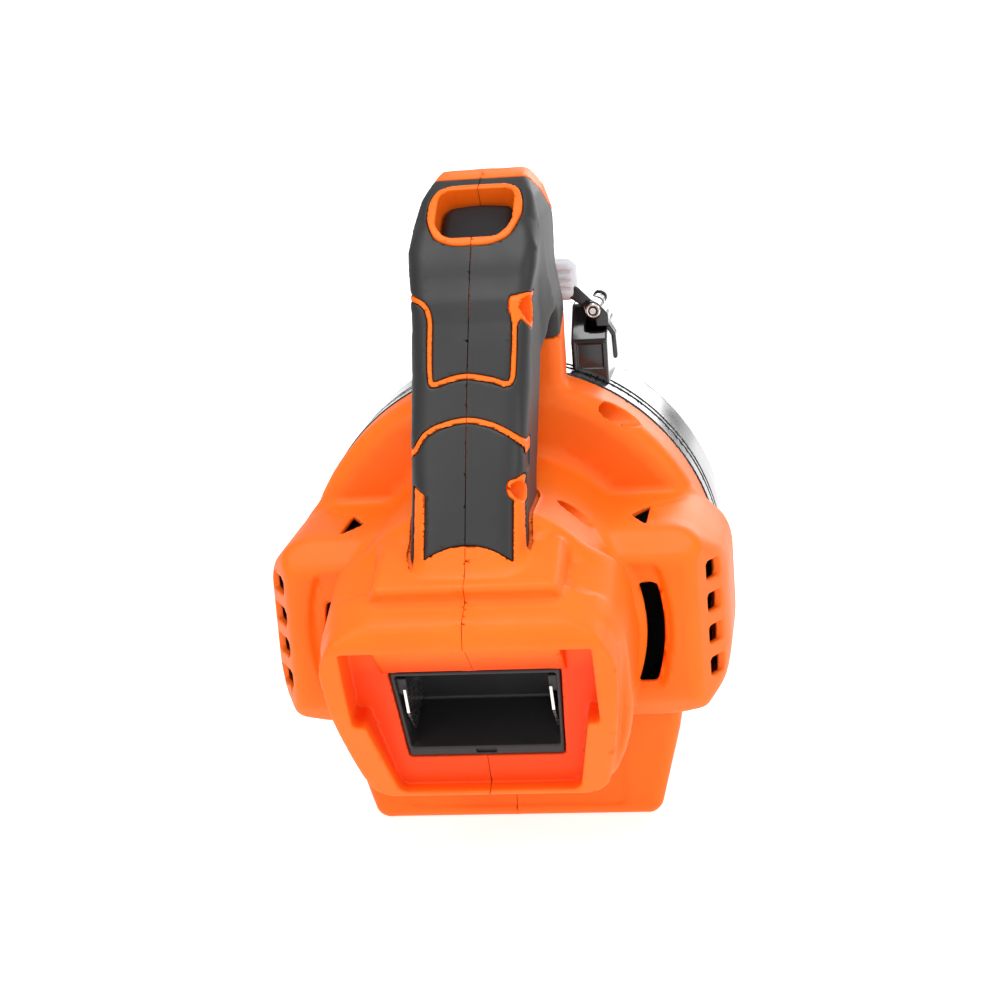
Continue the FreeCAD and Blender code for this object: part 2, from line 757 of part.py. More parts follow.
def make_front(doc):
    """The dark front housing with its half of the foot and the socket of the tube."""
    outer = join(doc, "front_outer",
                 front_shell(doc, "front_shell_outer", 0, "disc_front", "neck + 1"),
                 tube_frame(ring(doc, "socket_outer", -6, "socket_end", "socket_radius")),
                 foot_form(doc, "front_foot_outer", 0, "disc_front", "foot_front"))
    inner = join(doc, "front_inner",
                 front_shell(doc, "front_shell_inner", "wall", "disc_front - 1", "neck - 1"),
                 tube_frame(ring(doc, "socket_inner", -8, "socket_end + 1", "tube_radius + 0.3")),
                 foot_form(doc, "front_foot_inner", "wall", "disc_front - 1", "foot_front - wall"))
    housing = cut(doc, "fan_housing", outer, inner)
    hub = on_axis(turned(doc, "guide_hub", [(27, 0), (27, 26), (34, 25), (50, 8), (52, 0)]))
    band = on_axis(ring(doc, "guide_ring", 27, 31, "front_radius - wall", 66))
    vanes = []
    for i in range(6):
        vane = doc.addObject("Part::Box", f"guide_vane_{i}")
        bind(vane, Length=48, Width=6, Height=1.8)
        vane.Placement.Rotation = FreeCAD.Rotation(Vector(0, -1, 0), 1)
        vane.setExpression("Placement.Rotation.Angle", f"{i} * 60")
        vanes.append(move(vane, f"20 * cos({i} * 60deg)", 27, f"axis_height + 20 * sin({i} * 60deg)"))
    guide = join(doc, "air_guide", hub, band, *vanes)
    return [housing, guide]


def make_tube(doc):
    """The blowing tube, its seal and the flat nozzle."""
    tube = tube_frame(turned(doc, "blower_tube", [
        (2, "tube_radius"),
        ("socket_end + 6", "tube_radius"),
        ("tube_end", "tube_tip_radius"),
        ("tube_end", "tube_tip_radius - tube_wall"),
        ("socket_end + 6", "tube_radius - tube_wall"),
        (2, "tube_radius - tube_wall"),
    ]))
    seal = tube_frame(ring(doc, "tube_seal", "socket_end", "socket_end + 3", "tube_radius + 2.6", "tube_radius"))
    nodes = [tube, seal]
    body = new_body(doc, "nozzle_body")
    for kind, grow in (("Additive", 0), ("Subtractive", "tube_wall")):
        sections = []
        stations = (
            ("nozzle_start", f"tube_tip_radius + 3 - {grow}", f"tube_tip_radius + 3 - {grow}"),
            ("tube_end + 8", f"tube_tip_radius + 2.4 - {grow}", f"tube_tip_radius + 2.4 - {grow}"),
            ("nozzle_end", f"nozzle_half_width - {grow}", f"nozzle_half_height - {grow}"),
        )
        for i, (at, wide, high) in enumerate(stations):
            sketch = new_sketch(body, f"nozzle_{kind}_{i}", "XZ_Plane", f"-({at})")
            a = value_of(sketch, wide)
            b = value_of(sketch, high)
            if i < 2:
                sketch.addGeometry(Part.Circle(Vector(0, 0, 0), Vector(0, 0, 1), a))
                sketch.addConstraint(Sketcher.Constraint("Coincident", 0, 3, -1, 1))
                index = sketch.addConstraint(Sketcher.Constraint("Radius", 0, a))
                sketch.setExpression(f"Constraints[{index}]", formula(wide))
            else:
                sketch.addGeometry(Part.Ellipse(Vector(a, 0, 0), Vector(0, b, 0), Vector(0, 0, 0)))
            sections.append(sketch)
        loft = body.newObject(f"PartDesign::{kind}Loft", f"nozzle_{kind}_loft")
        loft.Profile = sections[0]
        loft.Sections = sections[1:]
        loft.Ruled = True
        doc.recompute()
    body.Label = "nozzle"
    nodes.append(tube_frame(body))
    return nodes


def make_latch(doc):
    """The tube's release latch beside the column: hood, lever, pin and spring."""
    prism = [
        ("hood_side", 140),
        ("hood_side", "hood_top"),
        ("hood_side + 3", "hood_top"),
        ("hood_outer", "hood_top - 9.5"),
        ("hood_outer", 136),
    ]
    shell = extruded(doc, "hood_prism", "XZ_Plane", prism, "hood_front - hood_rear", "-hood_front")
    room = [
        ("hood_side + 1.6", 130),
        ("hood_side + 1.6", "hood_top - 1.6"),
        ("hood_side + 2.4", "hood_top - 1.6"),
        ("hood_outer - 1.6", "hood_top - 10.4"),
        ("hood_outer - 1.6", 130),
    ]
    inside = extruded(doc, "hood_room", "XZ_Plane", room, "hood_front - hood_rear", "-(hood_front - 2)")
    drum = on_axis(ring(doc, "hood_seat", "disc_front", "shoulder", "front_radius"))
    lugs = [move(rod(doc, f"latch_lug_{i}", 2.4, 2.5), "latch_x", at, "latch_z")
            for i, at in enumerate((20, 31))]
    hole = move(rod(doc, "latch_hole", "latch_pin_radius", 60), "latch_x", 0, "latch_z")
    feet = [box(doc, f"latch_lug_foot_{i}", 3, 2.5, 6, "latch_x", at, "latch_z - 6")
            for i, at in enumerate((20, 31))]
    hood = cut(doc, "latch_hood", join(doc, "hood_solid", cut(doc, "hood_shell", shell, inside), *lugs, *feet),
               drum, hole)
    pin = move(rod(doc, "latch_pin", "latch_pin_radius", 30), "latch_x", 5, "latch_z")

    pad_profile = [(4, 174), (4, 182), (9, 187), (21, 187), (26.5, 181.5), (26.5, 174)]
    pad = extruded(doc, "latch_pad", "XZ_Plane", pad_profile, 10, -16)
    arm_profile = [(20, 174), (26, 178), ("latch_x", "latch_z + 3.4"), ("latch_x + 3", "latch_z - 1"),
                   (40, 162), (40, 152), (38, 152), (38, 161), ("latch_x - 2", "latch_z + 1.6"), (26, 174)]
    arm = extruded(doc, "latch_arm", "XZ_Plane", arm_profile, 6, -16)
    boss = move(rod(doc, "latch_boss", 3, 6), "latch_x", 10, "latch_z")
    bore = move(rod(doc, "latch_bore", "latch_pin_radius + running_gap", 20), "latch_x", 5, "latch_z")
    lever = cut(doc, "latch_lever", join(doc, "latch_solid", pad, arm, boss), bore)
    coils = []
    for turn in range(4):
        coil = doc.addObject("Part::Torus", f"latch_coil_{turn}")
        bind(coil, Radius1="latch_pin_radius + 0.9", Radius2=0.45)
        coil.Placement.Rotation = FreeCAD.Rotation(Vector(1, 0, 0), 90)
        coils.append(move(coil, "latch_x", f"23.2 + {turn} * 1.1", "latch_z"))
    return [hood, pin, lever, group(doc, "latch_spring", *coils)]


def make_electronics(doc):
    """The speed board and its heat sink under the motor, and foam filters in the ears."""
    board = box(doc, "speed_board", 44, 23, 1.6, 0, -72.5, 50)
    sink = join(doc, "heat_sink",
                box(doc, "sink_base", 18, 19, 2, 0, -71, 48),
                *[box(doc, f"sink_fin_{i}", 1.4, 19, 4, f"-8 + {i} * 4", -71, 44) for i in range(5)])
    filters = [box(doc, f"intake_filter_{side}", 3, 30, 52, f"{sign} * 69", -64, 51)
               for side, sign in (("right", 1), ("left", -1))]
    return [board, sink, *filters]


def route(points):
    """Straight runs through hand-picked points, joined by large tangent arcs."""
    points = [Vector(*p) for p in points]
    runs = [(b - a).Length for a, b in zip(points, points[1:])]
    edges = []
    start = points[0]
    for i in range(1, len(points) - 1):
        back = (points[i - 1] - points[i]).normalize()
        ahead = (points[i + 1] - points[i]).normalize()
        trim = 0.45 * min(runs[i - 1], runs[i])
        first = points[i] + back * trim
        last = points[i] + ahead * trim
        half_turn = (math.pi - back.getAngle(ahead)) / 2
        radius = trim / abs(math.tan(half_turn))
        centre_way = (back + ahead).normalize()
        middle = points[i] + centre_way * ((radius ** 2 + trim ** 2) ** 0.5 - radius)
        edges.append(Part.LineSegment(start, first).toShape())
        edges.append(Part.Arc(first, middle, last).toShape())
        start = last
    edges.append(Part.LineSegment(start, points[-1]).toShape())
    return Part.Wire(edges)


def lead(doc, label, points, radius=1.1):
    """An insulated lead swept along its route."""
    path = route(points)
    first = path.Edges[0]
    way = first.tangentAt(first.FirstParameter)
    section = Part.Wire([Part.Circle(Vector(*points[0]), way, radius).toShape()])
    item = doc.addObject("Part::Feature", label)
    item.Shape = path.makePipeShell([section], True, False)
    return item


def make_leads(doc):
    """Supply leads up the grip to the switch and motor leads down the column."""
    leads = []
    for name, sign in (("positive", 1), ("negative", -1)):
        leads.append(lead(doc, f"battery_lead_{name}", [
            (sign * 16, -76, 86), (sign * 10, -83, 104), (sign * 4, -72, 127),
            (sign * 4, -58, 148), (sign * 4, -47, 165), (sign * 5, -40, 180)]))
        leads.append(lead(doc, f"motor_lead_{name}", [
            (sign * 5, -21, 188), (sign * 5, -13.5, 176), (sign * 5, -12, 156),
            (sign * 7, -11.5, 132), (sign * 11, -13, 110), (sign * 11, -14.5, 92)]))
    return leads


def check(doc, nodes):
    """Stops before anything is written if an object failed or a node is not a sound solid."""
    for item in doc.Objects:
        if "Invalid" in item.State or "Error" in item.State:
            raise RuntimeError(f"{item.Label} failed: {item.State}")
    for node in nodes:
        shape = node.Shape
        if shape.isNull() or not shape.isValid() or shape.Volume <= 0:
            raise RuntimeError(f"{node.Label} is not a sound solid")


def main():
    doc = FreeCAD.newDocument("leaf_blower")
    make_sheet(doc)
    nodes = []
    for maker in (make_casing, make_terminals, make_trigger, make_motor, make_mounts, make_fan,
                  make_front, make_tube, make_latch, make_electronics, make_leads):
        nodes += maker(doc)
        doc.recompute()
    nodes.append(make_screws(doc))
    doc.recompute()
    check(doc, nodes)
    os.makedirs("parts", exist_ok=True)
    for node in nodes:
        node.Shape.exportStep(f"parts/{node.Label}.step")
        extent = node.Shape.BoundBox
        print(f"{node.Label:26s} {len(node.Shape.Solids)} {node.Shape.Volume:10.0f} "
              f"{extent.XMin:7.1f}{extent.XMax:7.1f} {extent.YMin:7.1f}{extent.YMax:7.1f} {extent.ZMin:7.1f}{extent.ZMax:7.1f}")


main()
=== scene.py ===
"""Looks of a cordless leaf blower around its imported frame.

Shapes are written as distances in millimetres (negative inside) in the frame of the part: +X right,
+Y towards the nozzle, +Z up, origin under the foot. Each is meshed once and scaled to metres.
"""
import json
import math
import bpy
import numpy as np
import openvdb
from mathutils import Matrix, Vector


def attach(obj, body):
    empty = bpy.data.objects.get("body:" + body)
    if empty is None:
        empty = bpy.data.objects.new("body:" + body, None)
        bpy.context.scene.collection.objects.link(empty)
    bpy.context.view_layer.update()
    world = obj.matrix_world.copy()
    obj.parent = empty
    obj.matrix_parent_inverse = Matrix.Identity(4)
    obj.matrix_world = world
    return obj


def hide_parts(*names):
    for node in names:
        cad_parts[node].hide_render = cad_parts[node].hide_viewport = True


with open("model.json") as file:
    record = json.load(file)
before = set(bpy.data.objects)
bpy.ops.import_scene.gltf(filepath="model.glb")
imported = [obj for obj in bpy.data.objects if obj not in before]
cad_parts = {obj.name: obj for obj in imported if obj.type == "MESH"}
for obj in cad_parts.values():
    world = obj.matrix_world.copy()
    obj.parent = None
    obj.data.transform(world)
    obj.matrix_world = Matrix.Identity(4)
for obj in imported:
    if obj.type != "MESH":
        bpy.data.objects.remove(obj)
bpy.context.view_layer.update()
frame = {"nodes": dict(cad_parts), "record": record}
MM = 0.001
COARSE = 1.0

# ------------------------------------------------------------------ distance kit


def both(a, b, r=0.0):
    """Where a and b overlap, with the shared edge rounded to radius r."""
    if np.isscalar(r) and r == 0:
        return np.maximum(a, b)
    return np.minimum(np.maximum(a, b), -r) + np.hypot(np.maximum(a + r, 0), np.maximum(b + r, 0))


def either(a, b, r=0.0):
    """a and b together, with a fillet of radius r where they meet."""
    return -both(-a, -b, r)


def without(a, b, r=0.0):
    return both(a, -b, r)


def shell(d, wall):
    return np.maximum(d, -(d + wall))


def convex(u, v, points, r=0.0):
    """A convex outline through points listed anticlockwise, with corners rounded to r."""
    d = None
    for (ax, ay), (bx, by) in zip(points, points[1:] + points[:1]):
        length = math.hypot(bx - ax, by - ay)
        side = ((u - ax) * (by - ay) - (v - ay) * (bx - ax)) / length
        d = side if d is None else both(d, side, r)
    return d


def block(x, y, z, centre, half, r=0.0):
    """A box with all its edges rounded to r."""
    q = [abs(p - c) - h + r for p, c, h in zip((x, y, z), centre, half)]
    outside = np.sqrt(sum(np.maximum(a, 0) ** 2 for a in q))
    return outside + np.minimum(np.maximum(np.maximum(q[0], q[1]), q[2]), 0) - r


def capsule2(u, v, a, b, ra, rb=None):
    """A flat stroke from a to b whose half-width runs from ra to rb."""
    rb = ra if rb is None else rb
    du, dv = b[0] - a[0], b[1] - a[1]
    t = np.clip(((u - a[0]) * du + (v - a[1]) * dv) / (du * du + dv * dv), 0, 1)
    return np.hypot(u - a[0] - du * t, v - a[1] - dv * t) - (ra + (rb - ra) * t)


def stroke(u, v, points, half):
    d = capsule2(u, v, points[0], points[1], half)
    for a, b in zip(points[1:], points[2:]):
        d = np.minimum(d, capsule2(u, v, a, b, half))
    return d


def smooth_line(points, steps=6):
    """A Catmull-Rom line through given points."""
    p = [np.array(q, float) for q in points]
    p = [2 * p[0] - p[1]] + p + [2 * p[-1] - p[-2]]
    line = []
    for a, b, c, d in zip(p, p[1:], p[2:], p[3:]):
        for i in range(steps):
            t = i / steps
            line.append(tuple(0.5 * (2 * b + (c - a) * t + (2 * a - 5 * b + 4 * c - d) * t * t
                                     + (3 * b - a - 3 * c + d) * t ** 3)))
    return line + [tuple(p[-2])]


def tilted(y, z, y0, z0, degrees):
    """Coordinates along and above a line through (y0, z0) that rises by an angle."""
    c, s = math.cos(math.radians(degrees)), math.sin(math.radians(degrees))
    return (y - y0) * c + (z - z0) * s, (z - z0) * c - (y - y0) * s


def gradient(shape, points, step):
    rises = [shape(*(points + step * e).T) - shape(*(points - step * e).T) for e in np.eye(3)]
    return np.stack(rises, 1) / (2 * step)


def straighten(points, normals, whole, plane, voxel, step):
    """Puts the vertices beside a split plane onto it, so that the seam's edge is straight."""
    near = np.flatnonzero(abs(points[:, 0] - plane) < 0.7 * voxel)
    points[near, 0] = plane
    rim = near[abs(whole(*points[near].T)) < 1.05 * voxel]
    for _ in range(3):
        slope = gradient(whole, points[rim], step)
        size = np.maximum(np.linalg.norm(slope[:, 1:], axis=1), 0.4)
        shift = np.clip(whole(*points[rim].T) / size ** 2, -0.5 * voxel, 0.5 * voxel)
        points[rim, 1:] -= shift[:, None] * slope[:, 1:]
    normals[rim] = gradient(whole, points[rim], step)


def mesh_of(name, shape, low, high, voxel, flat=0.15, whole=None, plane=0.0):
    """Meshes a distance function: its vertices are moved onto the exact surface."""
    voxel = voxel * COARSE
    axes = [np.arange(a - 2 * voxel, b + 2 * voxel, voxel, dtype=np.float32) for a, b in zip(low, high)]
    y = axes[1][None, :, None]
    z = axes[2][None, None, :]
    slabs = [np.broadcast_to(shape(part[:, None, None], y, z), (len(part), y.size, z.size))
             for part in np.array_split(axes[0], max(1, len(axes[0]) // 24))]
    field = np.clip(np.concatenate(slabs), -3 * voxel, 3 * voxel).astype(np.float32)
    grid = openvdb.FloatGrid(3 * voxel)
    grid.copyFromArray(field, tolerance=0)
    points, triangles, quads = grid.convertToPolygons(0.0, flat)
    points = points.astype(np.float64) * voxel + np.array([a[0] for a in axes])
    step = 0.2 * voxel
    for _ in range(3):
        here = shape(*points.T)
        slope = gradient(shape, points, step)
        size = np.maximum(np.linalg.norm(slope, axis=1, keepdims=True), 0.3)
        points -= np.clip(here, -0.4 * voxel, 0.4 * voxel)[:, None] * slope / size ** 2
    normals = gradient(shape, points, step)
    if whole is not None:
        straighten(points, normals, whole, plane, voxel, step)
    normals /= np.maximum(np.linalg.norm(normals, axis=1, keepdims=True), 1e-9)
    mesh = bpy.data.meshes.new(name)
    mesh.from_pydata((points * MM).tolist(), [], triangles.tolist() + quads.tolist())
    mesh.validate()
    mesh.polygons.foreach_set("use_smooth", [True] * len(mesh.polygons))
    mesh.normals_split_custom_set_from_vertices(normals.tolist())
    piece = bpy.data.objects.new(name, mesh)
    bpy.context.scene.collection.objects.link(piece)
    return piece


def add(piece, material, body, slot_name, *nodes):
    piece.data.materials.clear()
    piece.data.materials.append(material)
    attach(piece, body)
    if nodes:
        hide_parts(*nodes)
    return piece


# ------------------------------------------------------------------ forms of the casing

AXIS = 80.0                     # height of the fan's axis
DRUM_RADIUS = 73                # of the casing around the fan
TUNNEL_RADIUS = 48              # of the casing behind it
FAN_RADIUS = 73.4               # of the black housing ahead of it
WALL = 2.5                      # of the casing
PAST_SEAM = 0.6                 # how far a half's grid reaches over the mid-plane
BAY_TILT = 21.2                 # of the battery bay, in degrees
WELL = (-38.5, 213.0, 30.6)     # Y, Z and tilt of the thumb trigger's well
SLOPE = 8.0                     # of the blowing tube, downwards
SOCKET_Y = 60                   # where the tube's frame starts
LATCH_PIN = (32.4, 169.6)       # X and Z
BORE_HIGH = (-61.5, 183.5)      # Y and Z of the grip's screws
BORE_LOW = (-96.5, 132.5)
SEAM_SCREWS = (                 # name, place and bore radius
    ("drum", (-21, 138), 4.4),
    ("tunnel", (-68, 116.5), 4.4),
    ("foot", (-25, 13), 4.4),
    ("grip_high", BORE_HIGH, 4.7),
    ("grip_low", BORE_LOW, 3.1),
)


def radius(x, z):
    return np.hypot(x, z - AXIS)


def bay(y, z):
    """Coordinates along the battery's slide and square to it."""
    return tilted(y, z, 0, 0, BAY_TILT)


def narrowed(x, w):
    """X as the terminal block sees it, which makes the block narrower towards its foot."""
    return x * (1 + 0.0022 * (113.5 - w))


def drum(x, y, z):
    return both(radius(x, z) - DRUM_RADIUS, -27 - y, 8)


def tunnel(x, y, z):
    return both(radius(x, z) - TUNNEL_RADIUS, both(-96 - y, y + 20), 6)


def ears(x, y, z):
    side = abs(x) + 2.0 * (x < 0)
    front_view = convex(side, z, [(0, 45), (61, 45), (74, 51), (79.5, 62), (79.5, 98),
                                  (66, 112), (0, 112)], 5)
    plan = convex(side, y, [(0, -78), (68, -78), (79.5, -57), (79.5, -19), (0, -19)], 3.5)
    profile = convex(y, z, [(-78, 56), (-68, 45), (-19, 45), (-19, 112), (-67, 112), (-78, 102)], 2.5)
    d = both(both(front_view, plan, 3), profile, 2.5)
    rho = radius(x, z)
    ring = both(abs(rho - 55.5) - 4.5, both(-y - 80, y + 75.8), 1.5)
    panel = both(ring, both(abs(z - AXIS) - 21, 35 - side), 2.5)
    return without(d, panel, 1.5)


def foot(x, y, z):
    outline = convex(x, z, [(-50, 0), (50, 0), (60.7, 40), (58, 60), (-58, 60), (-60.7, 40)], 4)
    d = both(outline, -45 - y, 4)
    pad = both(abs(x) - 39, both(abs(z - 24) - 19, abs(y + 45) - 0.5), 2)
    return without(both(d, y - 45, 4), pad, 0.8)


def hull(x, y, z):
    u, w = bay(y, z)
    face = convex(x, w, [(-39, 63), (39, 63), (49, 85), (49, 127), (39, 137),
                         (-39, 137), (-49, 127), (-49, 85)], 6)
    d = both(face, abs(u + 58.9) - 16.9, 3)
    step = convex(x, w, [(-31, 120), (31, 120), (31, 139), (28.5, 144.5), (-28.5, 144.5), (-31, 139)], 1.2)
    step = both(step, abs(u + 60) - 12.5, 1.2)
    return either(d, step, 1.5)


def shroud(x, y, z):
    u, w = bay(y, z)
    face = convex(x, w, [(-38, 63.5), (38, 63.5), (47, 100), (47, 130), (37, 139.3),
                         (-37, 139.3), (-47, 130), (-47, 100)], 7)
    side = convex(u, w, [(-80, 63), (-66, 63), (-66, 139.3), (-82.5, 139.3),
                         (-87.8, 133), (-87.8, 105)], 1.2)
    return both(face, side, 1.2)


def recess(x, y, z):
    u, w = bay(y, z)
    side = convex(u, w, [(-100, 20), (-76, 20), (-76, 131), (-100, 131)], 0.6)
    ledge = both(convex(u, w, [(-87, 133), (-76.5, 114), (-60, 114), (-60, 133)], 0.5), abs(x) - 29.5, 0.5)
    side = without(side, ledge, 0.8)
    upper = both(abs(x) - 39.5, 100 - w, 2)
    lower = both(abs(x) - (35.5 - 0.17 * (100 - w)), w - 106, 1)
    opening = either(upper, lower, 1.5)
    floor = both(opening, 66 - w, 3)
    return both(floor, side, 0.6)


def handle_half(y, z):
    """Half the width of the handle: the grip flares at its foot and swells into the head."""
    grip = np.interp(z, [98, 106, 113, 130, 160, 176, 184, 189, 196, 202, 208, 214, 219, 223],
                     [24, 20.5, 18.8, 18.4, 19.3, 19.6, 19.4, 19.8, 21.2, 21.6, 21.2, 19.6, 17.4, 15])
    column = np.interp(z, [150, 176, 190, 208, 216, 223], [23.6, 23.6, 21.6, 21.2, 19, 15])
    return grip + (column - grip) * np.clip((y + 42) / 14, 0, 1)


def handle(x, y, z):
    """Grip, head and column as one loop."""
    grip = convex(y, z, [(-115, 109), (-80, 98), (-32, 170), (-44, 196), (-64, 188), (-90, 153)], 4)
    head = convex(y, z, [(-66, 185), (-34, 166), (-22, 178), (2, 188), (0.5, 216), (-6, 224),
                         (-25, 221), (-52, 205)], 4)
    column = convex(y, z, [(-26, 120), (-4, 120), (-4, 154), (3, 163), (2, 200),
                           (-24, 200), (-24.5, 165)], 2)
    profile = either(either(grip, head, 6), column, 6)
    r = 6 + 2.5 * np.clip((180 - z) / 15, 0, 1) - 4 * np.clip((y + 40) / 12, 0, 1)
    return both(profile, abs(x) - handle_half(y, z), r)


UPPER_ACCENT = smooth_line([(-25, 190), (-18.5, 188.8), (-14.6, 187), (-12.8, 183), (-12.5, 174.5),
                            (-12, 165.5), (-10.2, 164.3), (-5.4, 165.6), (0.1, 166.2), (7.5, 165),
                            (12.5, 163.6), (14.4, 165), (14.8, 171), (14.9, 178), (14.8, 183)])
LOWER_ACCENT = smooth_line([(-24, 140), (-17.5, 144.5), (-15, 148), (-13, 150.3), (-8.2, 152.5), (0, 153.8),
                            (7.8, 152.3), (14, 149.3), (18.5, 144.8), (19.2, 138)])


def accent(x, y, z):
    """The raised lines of the shell that show through the soft skin at the rear of the grip."""
    d = stroke(x, z, UPPER_ACCENT, 0.75)
    d = np.minimum(d, stroke(x, z, LOWER_ACCENT, 0.75))
    d = np.minimum(d, capsule2(x, z, (15, 180.5), (15.4, 183), 0.9, 1.8))
    d = np.minimum(d, capsule2(x, z, (18.5, 187.5), (27, 188.5), 0.8))
    d = both(d, y - np.interp(z, [110, 153, 190, 230], [-99, -76, -52, -40]))
    right = convex(x, z, [(14.9, 100), (24, 100), (24, 133), (18, 137.5), (14.9, 136)], 1.2)
    left = convex(x, z, [(-16.9, 100), (-13.4, 100), (-13, 133), (-16.9, 135)], 0.6)
    _, behind = tilted(y, z, -115, 109, 60.4)
    d = np.minimum(d, both(np.minimum(right, left), -behind - 6.5))
    for (y0, z0), size in ((BORE_HIGH, 5.7), (BORE_LOW, 4.0)):
        d = np.minimum(d, both(np.hypot(y - y0, z - z0) - size, 13 - x, 1))
    return d


def well_ring(x, y, z, grow):
    along, above = tilted(y, z, *WELL)
    outline = convex(x, along, [(-8.6, -12.5), (8.6, -12.5), (12.8, -7), (12.8, 9.5), (10.6, 12.5),
                                (-10.6, 12.5), (-12.8, 9.5), (-12.8, -7)], 1.8)
    return outline - grow, above


def skin_zone(x, y, z, gap):
    """Where the soft skin lies: on the head and the grip down to a curved edge."""
    grip_side, _ = tilted(y, z, -27, 165, -17.4)
    _, wing_side = tilted(y, z, -27, 165, 19)
    upper = both(either(grip_side, -wing_side, 1.5), (z - 223.3) * 0.79 + (y + 22) * 0.61)
    along, _ = tilted(y, z, -109.5, 119, 60.3)
    d = both(upper + gap, gap - along - 8 * (x / 18) ** 2, 0.5)
    ring, _ = well_ring(x, y, z, 3.0)
    d = both(d, gap - ring, 0.3)
    return both(d, gap - accent(x, y, z), 0.2)


def bores(x, y, z, wall=0.0):
    """Screw bores from the right, down to their seats, or with a wall the bosses around them."""
    d = None
    for _, (y0, z0), size in SEAM_SCREWS:
        bore = both(np.hypot(y - y0, z - z0) - size - wall, 11 - wall - x, 0.3)
        d = bore if d is None else np.minimum(d, bore)
    return d


def slots(x, y, z):
    """Air inlets of the ears: curved slots, corner slots and vents, set further in on the left."""
    left = x < 0
    side = abs(x) + 3.0 * left
    d = both(both(abs(radius(x, z) - 55 + 3.0 * left) - 2.9, abs(z - 77.5) - 17 + 3.5 * left, 1.2),
             both(y + 66, 38 - side))
    for i in range(4):
        d = np.minimum(d, block(side, y, z, (78, -66.6, 96 - 11.0 * i), (9, 3.5 + 2.0 * left, 3.1), 1.0))
    vent = both(convex(side, y, [(46.8, -52), (52.6, -64), (52.6, -41)], 0.5), 104 - z)
    groove = both(capsule2(side, y, (52, -44), (64, -33), 1.6), 111 - z, 0.5)
    return np.minimum(d, np.minimum(vent, groove))


def casing_body(x, y, z):
    """The outer form of the casing without its handle and its bay."""
    d = either(drum(x, y, z), tunnel(x, y, z), 5)
    d = either(d, ears(x, y, z), 3.5)
    d = either(d, foot(x, y, z), 4)
    return either(d, hull(x, y, z), 3)


def casing(x, y, z):
    """The whole orange shell, both halves."""
    body = casing_body(x, y, z)
    grasp = handle(x, y, z)
    outer = either(body, grasp, 2.5)
    inner = without(either(body + WALL, grasp + 4.5, 3), bores(x, y, z, 1.8), 1)
    d = either(outer, shroud(x, y, z), 2)
    zone = both(skin_zone(x, y, z, 0), abs(grasp + 0.5) - 1.5)
    d = without(d, both(zone, -(body + 1)), 0.2)
    ring, above = well_ring(x, y, z, 3.0)
    rim = both(both(ring, above - 9.2, 0.8), -4 - above)
    rim = both(rim, grasp - 0.7, 0.6)
    d = np.minimum(d, rim)
    d = without(d, inner)
    well, above = well_ring(x, y, z, 0.0)
    sleeve = both(both(well - 2, abs(above + 6) - 7), grasp + 1)
    d = without(np.minimum(d, sleeve), both(well, -26 - above), 0.6)
    along, _ = tilted(y, z, *WELL)
    d = without(d, block(x, along, above, (0, 14, -12.5), (6, 7, 4), 0.5), 0.3)
    d = without(d, recess(x, y, z), 0.8)
    u, w = bay(y, z)
    window = both(both(abs(narrowed(x, w)) - 27.7, abs(w - 95.7) - 18.1, 1), u + 46)
    d = without(d, window, 0.4)
    d = without(d, slots(x, y, z), 0.5)
    d = without(d, bores(x, y, z), 0.5)
    return without(d, both(-4 - y, z - 156), 0.6)


def soft_skin(x, y, z):
    grasp = handle(x, y, z)
    d = both(grasp, skin_zone(x, y, z, 0.18), 0.7)
    d = both(d, -(grasp + 1.95))
    d = both(d, -casing_body(x, y, z))
    return without(d, bores(x, y, z), 0.5)


def half_mesh(name, shape, sign, low, high, voxel, gap):
    """One side of a shape that is split along the mid-plane, with half the seam's gap left open."""
    left, right = (-PAST_SEAM, high[0]) if sign > 0 else (-high[0], PAST_SEAM)
    return mesh_of(name, lambda x, y, z: both(shape(x, y, z), gap - sign * x), (left, *low),
                   (right, *high[1:]), voxel, whole=shape, plane=sign * gap)


# ------------------------------------------------------------------ other pieces


def terminal_block(x, y, z):
    u, w = bay(y, z)
    narrow = narrowed(x, w)
    d = block(narrow, u, w, (0, -63.2, 95.7), (27.4, 12.9, 17.8), 0.8)
    cavity = block(narrow, u, w, (0, -66, 96.8), (26.0, 14, 15.1), 1.0)
    d = without(d, cavity, 0.8)
    ribs = block(abs(x), u, w, (24.4, -66, 106), (1.7, 8, 3.4), 0.5)
    shelf = block(x, u, w, (0, -60, 108.6), (25.8, 6, 2.2), 0.6)
    d = np.minimum(d, np.minimum(ribs, shelf))
    notch = block(x, u, w, (0, -76.5, 79.9), (3.3, 1.6, 0.9), 0.4)
    return without(d, notch, 0.2)


def thumb_trigger(x, y, z):
    ring, above = well_ring(x, y, z, -0.45)
    along, _ = tilted(y, z, *WELL)
    crown = above + 5.0 + 0.01 * x * x + 0.006 * (along - 1) ** 2
    pad = both(both(ring, crown, 3.2), -15.5 - above, 0.5)
    arm = both(block(x, along, above, (0, 13, -12), (4.5, 7, 2.2), 0.8), ring + 3)
    hub = both(np.hypot(along - 20, above + 12) - 3.1, abs(x) - 5, 0.4)
    bar = block(x, along, above, (0, 15.5, -12), (4.2, 4.5, 2.0), 0.6)
    d = np.minimum(np.minimum(pad, arm), either(hub, bar, 0.8))
    stem = block(x, along, above, (0, -4, -16), (2.5, 2, 1.4), 0.4)
    d = np.minimum(d, stem)
    return without(d, np.hypot(along - 20, above + 12) - 1.6)


def tube_frame(y, z):
    """Coordinates along the blowing tube and square to it."""
    c, s = math.cos(math.radians(SLOPE)), math.sin(math.radians(SLOPE))
    return (y - SOCKET_Y) * c - (z - AXIS) * s, (z - AXIS) * c + (y - SOCKET_Y) * s


